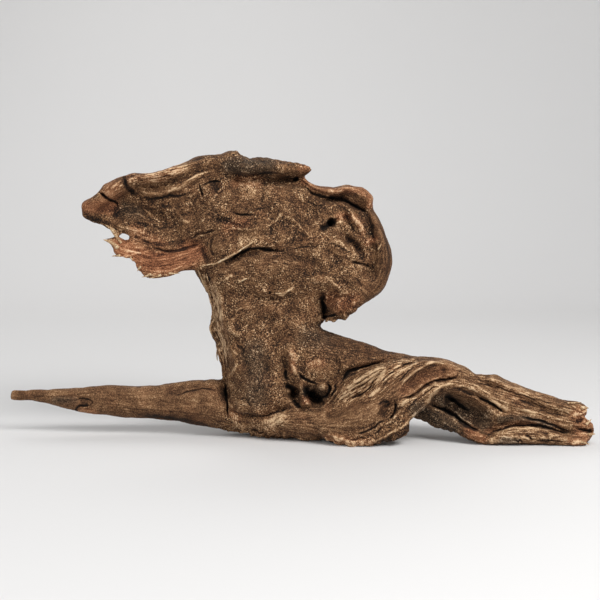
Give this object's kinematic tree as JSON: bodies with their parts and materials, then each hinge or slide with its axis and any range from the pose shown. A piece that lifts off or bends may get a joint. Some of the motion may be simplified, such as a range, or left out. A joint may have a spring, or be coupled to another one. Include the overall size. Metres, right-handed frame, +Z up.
{
  "type": "river driftwood",
  "caption": "Weathered river driftwood: a pointed root, an upright trunk with a torn shell-like head and curled knob, and a twisted limb it stands on.",
  "frame": {"origin": "on the floor, under the middle of the box round the wood", "axes": "+X to the right along the limb, away from the pointed root; +Y to the back, away from the carved broad face; +Z up"},
  "size_m": [0.4652, 0.0978, 0.2279],
  "materials": {
    "wood": "weathered, dry and matt"
  },
  "bodies": {
    "root": {"driftwood": "wood"}
  },
  "joints": []
}
